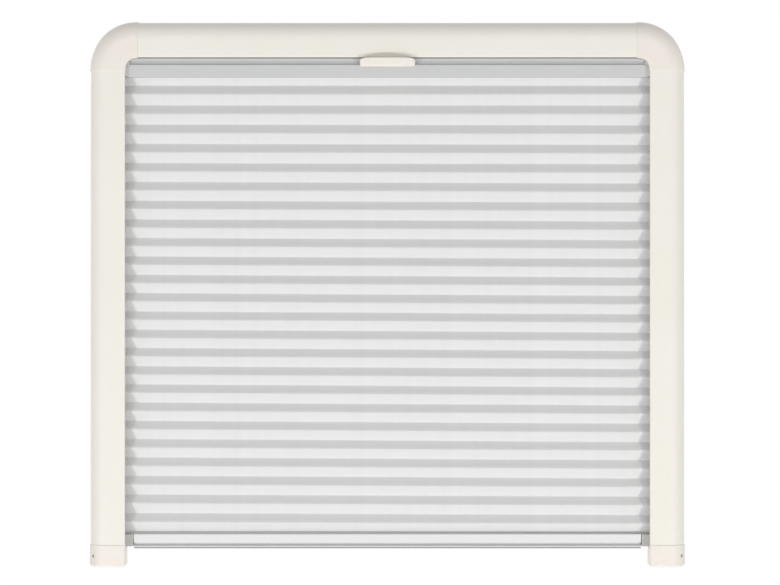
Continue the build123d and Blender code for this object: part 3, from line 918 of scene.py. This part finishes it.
@dataclass
class WindowFrame:
    """The fixed frame: three coated extrusions, two corner joints and two end caps."""

    coat: PowderCoat
    moulding: MouldedPlastic
    joint_edge_mm: float = 0.15

    def dress(self) -> None:
        """Give each piece its finish, and the mouldings soft edges."""
        coat = self.coat.material()
        moulding = self.moulding.material()
        rounded_copy("top_profile", coat)
        for side in Side:
            rounded_copy(side.node("side_rail"), coat)
            rounded_copy(side.node("corner_joint"), moulding, self.joint_edge_mm)
            rounded_copy(side.node("end_cap"), moulding, self.joint_edge_mm)


@dataclass
class SlidingBar:
    """The pull bar with its guide shoes and its grip."""

    metal: SatinAluminium
    grip: MouldedPlastic
    shoe: MouldedPlastic
    grip_edge_mm: float = 0.5

    def dress(self) -> None:
        """Give each piece its finish, and the grip soft edges."""
        rounded_copy("pull_bar", self.metal.material())
        rounded_copy("grip", self.grip.material(), self.grip_edge_mm)
        shoe = self.shoe.material()
        for side in Side:
            rounded_copy(side.node("guide_shoe"), shoe)


@dataclass
class BottomRail:
    """The bottom rail with its two end plugs and the seal under it."""

    metal: SatinAluminium
    plug: MouldedPlastic
    seal: SpeckledSolid

    def dress(self) -> None:
        """Give each piece its finish."""
        rounded_copy("bottom_rail", self.metal.material())
        plug = self.plug.material()
        for side in Side:
            rounded_copy(side.node("bottom_plug"), plug)
        dress_node("bottom_seal", self.seal.material())


@dataclass
class InnerPieces:
    """The small pieces that the frame hides: strips, cords, anchors, buffers, ferrules and screws."""

    strip: SpeckledSolid
    anchor: SpeckledSolid
    cord: BraidedCord
    rubber: SpeckledSolid
    steel: SpeckledSolid

    def dress(self) -> None:
        """Give each piece its finish."""
        strip = self.strip.material()
        for node in ("cloth_head_strip", "screen_foot_strip", "cloth_foot_strip", "screen_head_strip"):
            dress_node(node, strip)
        steel = self.steel.material()
        dress_node("cap_screws", steel)
        finishes = {
            "tension_cord": self.cord.material(),
            "cord_anchor": self.anchor.material(),
            "tension_buffer": self.rubber.material(),
            "cord_ferrule": steel,
        }
        for name, material in finishes.items():
            for side in Side:
                dress_node(side.node(name), material)


@dataclass
class Cloths:
    """The night cloth below the pull bar and the day screen above it."""

    night: CoatedCloth
    day: PleatedNet
    pleats: int = 24
    down_share: float = 0.53
    head_share: float = 0.73
    foot_share: float = 0.13
    night_round: float = 0.1
    night_sag: float = 5.4 * MM
    night_sway: float = 0.9 * MM
    night_tilt: float = 4.0 * MM
    night_columns: int = 41
    night_rows: int = 40
    day_share: float = 0.5
    day_round: float = 0.03
    day_columns: int = 31
    day_rows: int = 16
    travel: float = 489 * MM

    def dress(self) -> None:
        """Fold both cloths, and hold the night cloth to the fixed frame."""
        tree = PleatTree().build()
        self.hang_night_cloth(tree)
        self.pack_day_screen(tree)

    def hang_night_cloth(self, tree: bpy.types.NodeTree) -> None:
        """Hang the night cloth between the pull bar and the bottom rail.

        Args:
            tree: the pleat tree.
        """
        low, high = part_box("night_blind")
        rail_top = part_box("bottom_rail")[1].z
        bar_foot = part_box("pull_bar")[0].z
        sheet = PleatedSheet(
            name="night_cloth", width=high.x - low.x, top=bar_foot, bottom=rail_top, depth=high.y - low.y,
            middle=-(low.y + high.y) / 2, pleats=self.pleats, down_share=self.down_share,
            head_share=self.head_share, foot_share=self.foot_share, fold_round=self.night_round, packed=0.0,
            sag=self.night_sag, sway=self.night_sway, tilt=self.night_tilt, columns=self.night_columns,
            rows_per_pleat=self.night_rows,
        )
        cloth = sheet.build(tree, self.night.material())
        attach(cloth, FIXED)
        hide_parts("night_blind")
        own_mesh(cloth)

    def pack_day_screen(self, tree: bpy.types.NodeTree) -> None:
        """Pack the day screen between the pull bar and its strip in the top profile.

        Args:
            tree: the pleat tree.
        """
        low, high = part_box("day_screen")
        bar_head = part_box("pull_bar")[1].z
        sheet = PleatedSheet(
            name="day_net", width=high.x - low.x, top=high.z, bottom=bar_head, depth=high.y - low.y,
            middle=-(low.y + high.y) / 2, pleats=self.pleats, down_share=self.day_share,
            head_share=self.day_share, foot_share=self.day_share, fold_round=self.day_round, packed=1.0,
            sag=0.0, sway=0.0, tilt=0.0, columns=self.day_columns, rows_per_pleat=self.day_rows,
        )
        net = sheet.build(tree, self.day.material())
        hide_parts("day_screen")
        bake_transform(net)


@dataclass
class Studio:
    """Plain soft light, a pale floor, a white background and the camera of the photograph."""

    floor_level: float = -2.7
    floor_half: float = 6.0
    floor_fade: tuple[float, float] = (3.2, 5.6)
    floor_colour: str = "#F4F4F4"
    floor_white: float = 0.7
    sky_colour: str = "#FFFFFF"
    ambient: float = 0.60
    lamp_size: float = 0.5
    front_share: float = 0.28
    front_lamp: tuple[float, float, float] = (2.6, -3.2, -1.92)
    back_share: float = 0.17
    back_lamp: tuple[float, float, float] = (1.6, 3.6, 0.9)
    camera_place: tuple[float, float, float] = (0.0029, -3.526, 0.0017)
    lens: float = 142.4

    def build(self) -> None:
        """Set up the floor, the world, the lamps and the camera."""
        self.add_floor()
        self.add_world()
        for way in (-1, 1):
            self.add_lamp(self.front_lamp, way, self.front_share)
            self.add_lamp(self.back_lamp, way, self.back_share)
        self.add_camera()
        bpy.context.scene.view_settings.view_transform = "Standard"

    @staticmethod
    def seen_directly(tree: bpy.types.NodeTree) -> bpy.types.NodeSocket:
        """Work out whether a ray comes from the camera, or from it through gloss or glass.

        Args:
            tree: the tree of the floor's material or of the world.

        Returns:
            The socket that is 1 for such a ray and 0 for others.
        """
        path = add_node(tree, "ShaderNodeLightPath").outputs
        seen = path["Is Camera Ray"]
        for way in ("Is Glossy Ray", "Is Transmission Ray"):
            either = add_node(tree, "ShaderNodeMath", {0: seen, 1: path[way]}, operation="MAXIMUM")
            seen = either.outputs["Value"]
        return seen

    def add_floor(self) -> None:
        """Lay a pale floor that looks nearly white, keeps shadows and fades out before its edges."""
        half = self.floor_half
        ring = ((-half, -half), (half, -half), (half, half), (-half, half))
        mesh = bpy.data.meshes.new("studio_floor")
        mesh.from_pydata([(x, y, self.floor_level) for x, y in ring], [], [(0, 1, 2, 3)])
        floor = link(bpy.data.objects.new("studio_floor", mesh))
        material, tree = empty_material("matt_white_paper")
        seen = self.seen_directly(tree)
        paper = add_node(tree, "ShaderNodeBsdfDiffuse", {"Color": linear(self.floor_colour)})
        white = add_node(tree, "ShaderNodeEmission", {"Strength": 1.0})
        whiteness = add_node(tree, "ShaderNodeMath", {0: seen, 1: self.floor_white}, operation="MULTIPLY")
        lit = add_node(
            tree, "ShaderNodeMixShader",
            {0: whiteness.outputs["Value"], 1: paper.outputs["BSDF"], 2: white.outputs["Emission"]},
        )
        place = add_node(tree, "ShaderNodeTexCoord").outputs["Object"]
        away = add_node(tree, "ShaderNodeVectorMath", {0: place}, operation="LENGTH")
        fade = add_node(
            tree, "ShaderNodeMapRange",
            {"Value": away.outputs["Value"], "From Min": self.floor_fade[0], "From Max": self.floor_fade[1]},
            interpolation_type="SMOOTHSTEP",
        )
        gone = add_node(tree, "ShaderNodeMath", {0: fade.outputs["Result"], 1: seen}, operation="MULTIPLY")
        clear = add_node(tree, "ShaderNodeBsdfTransparent")
        faded = add_node(
            tree, "ShaderNodeMixShader",
            {0: gone.outputs["Value"], 1: lit.outputs["Shader"], 2: clear.outputs["BSDF"]},
        )
        add_node(tree, "ShaderNodeOutputMaterial", {"Surface": faded.outputs["Shader"]})
        mesh.materials.append(material)

    def add_world(self) -> None:
        """Make a white background that lights the object only as an even sky."""
        world = bpy.data.worlds.new("studio_world")
        world.use_nodes = True
        tree = world.node_tree
        tree.nodes.clear()
        strength = add_node(
            tree, "ShaderNodeMapRange",
            {"Value": self.seen_directly(tree), "To Min": self.ambient, "To Max": 1.0},
        )
        white = add_node(
            tree, "ShaderNodeBackground",
            {"Color": linear(self.sky_colour), "Strength": strength.outputs["Result"]},
        )
        add_node(tree, "ShaderNodeOutputWorld", {"Surface": white.outputs["Background"]})
        bpy.context.scene.world = world

    def add_lamp(self, spot: tuple[float, float, float], way: int, share: float) -> None:
        """Hang one soft lamp that looks at the blind.

        Args:
            spot: where the right-hand lamp of its pair hangs.
            way: 1 for the right-hand lamp, -1 for its mirror image.
            share: how much of full white the lamp alone gives a white face that looks at it.
        """
        place = Vector((way * spot[0], spot[1], spot[2]))
        lamp = bpy.data.lights.new("soft_lamp", "AREA")
        lamp.size = self.lamp_size
        # A lamp of this power, at this distance, gives a white face the brightness power / (pi * distance)^2
        lamp.energy = share * pi ** 2 * place.length_squared
        holder = link(bpy.data.objects.new("soft_lamp", lamp))
        holder.location = place
        holder.rotation_euler = (-place).to_track_quat("-Z", "Y").to_euler()
        holder.visible_camera = False

    def add_camera(self) -> None:
        """Place the camera square in front of the blind, as far off as the photograph's lines say."""
        camera = bpy.data.cameras.new("photo_camera")
        camera.lens = self.lens
        holder = link(bpy.data.objects.new("photo_camera", camera))
        holder.location = self.camera_place
        # A camera looks down until it is turned up to look along +Y
        holder.rotation_euler = (pi / 2, 0, 0)
        bpy.context.scene.camera = holder


def main() -> None:
    """Build every sub-assembly in order, then the studio."""
    logging.basicConfig(level=logging.INFO, format="%(name)s: %(message)s")
    cream = MouldedPlastic("cream_abs", "#EDE7DF", "#E9E2DA")
    grip = MouldedPlastic("cream_grip_abs", "#F1EAE2", "#EDE6DD")
    white = MouldedPlastic("off_white_acetal", "#DADAD6", "#D2D2CE", roughness=0.4)
    grey = MouldedPlastic("pale_grey_acetal", "#C6C6C3", "#BEBEBB", roughness=0.4)
    # The pull bar and the bottom rail are one satin silver aluminium: the bottom rail's copy is painted
    # lighter for the light and reflection it catches from below, and the pull bar's copy is a painted shade
    silver = SatinAluminium("silver_aluminium_painted_shade", "#C9CACA", "#C2C3C3")
    silver_painted_light = SatinAluminium("silver_aluminium_painted_light", "#E1E1E1", "#DBDBDB")
    seal = SpeckledSolid("grey_rubber_seal", "#A2A2A0", "#989896", roughness=0.7)
    hidden = InnerPieces(
        strip=SpeckledSolid("white_pvc_strip", "#DCDCDA", "#D4D4D2", roughness=0.45),
        anchor=SpeckledSolid("white_acetal_peg", "#DADAD6", "#D0D0CC", roughness=0.4),
        cord=BraidedCord(),
        rubber=SpeckledSolid("black_rubber", "#1E1E1F", "#28282A", roughness=0.75),
        steel=SpeckledSolid("zinc_plated_steel", "#C4BFB6", "#B2ACA2", roughness=0.45, metallic=0.8),
    )
    for assembly in (
        WindowFrame(PowderCoat(), cream),
        SlidingBar(silver, grip, white),
        BottomRail(silver_painted_light, grey, seal),
        Cloths(CoatedCloth(), PleatedNet()),
        hidden,
    ):
        LOG.info("%s", type(assembly).__name__)
        assembly.dress()
    Studio().build()


if __name__ == "__main__":
    main()
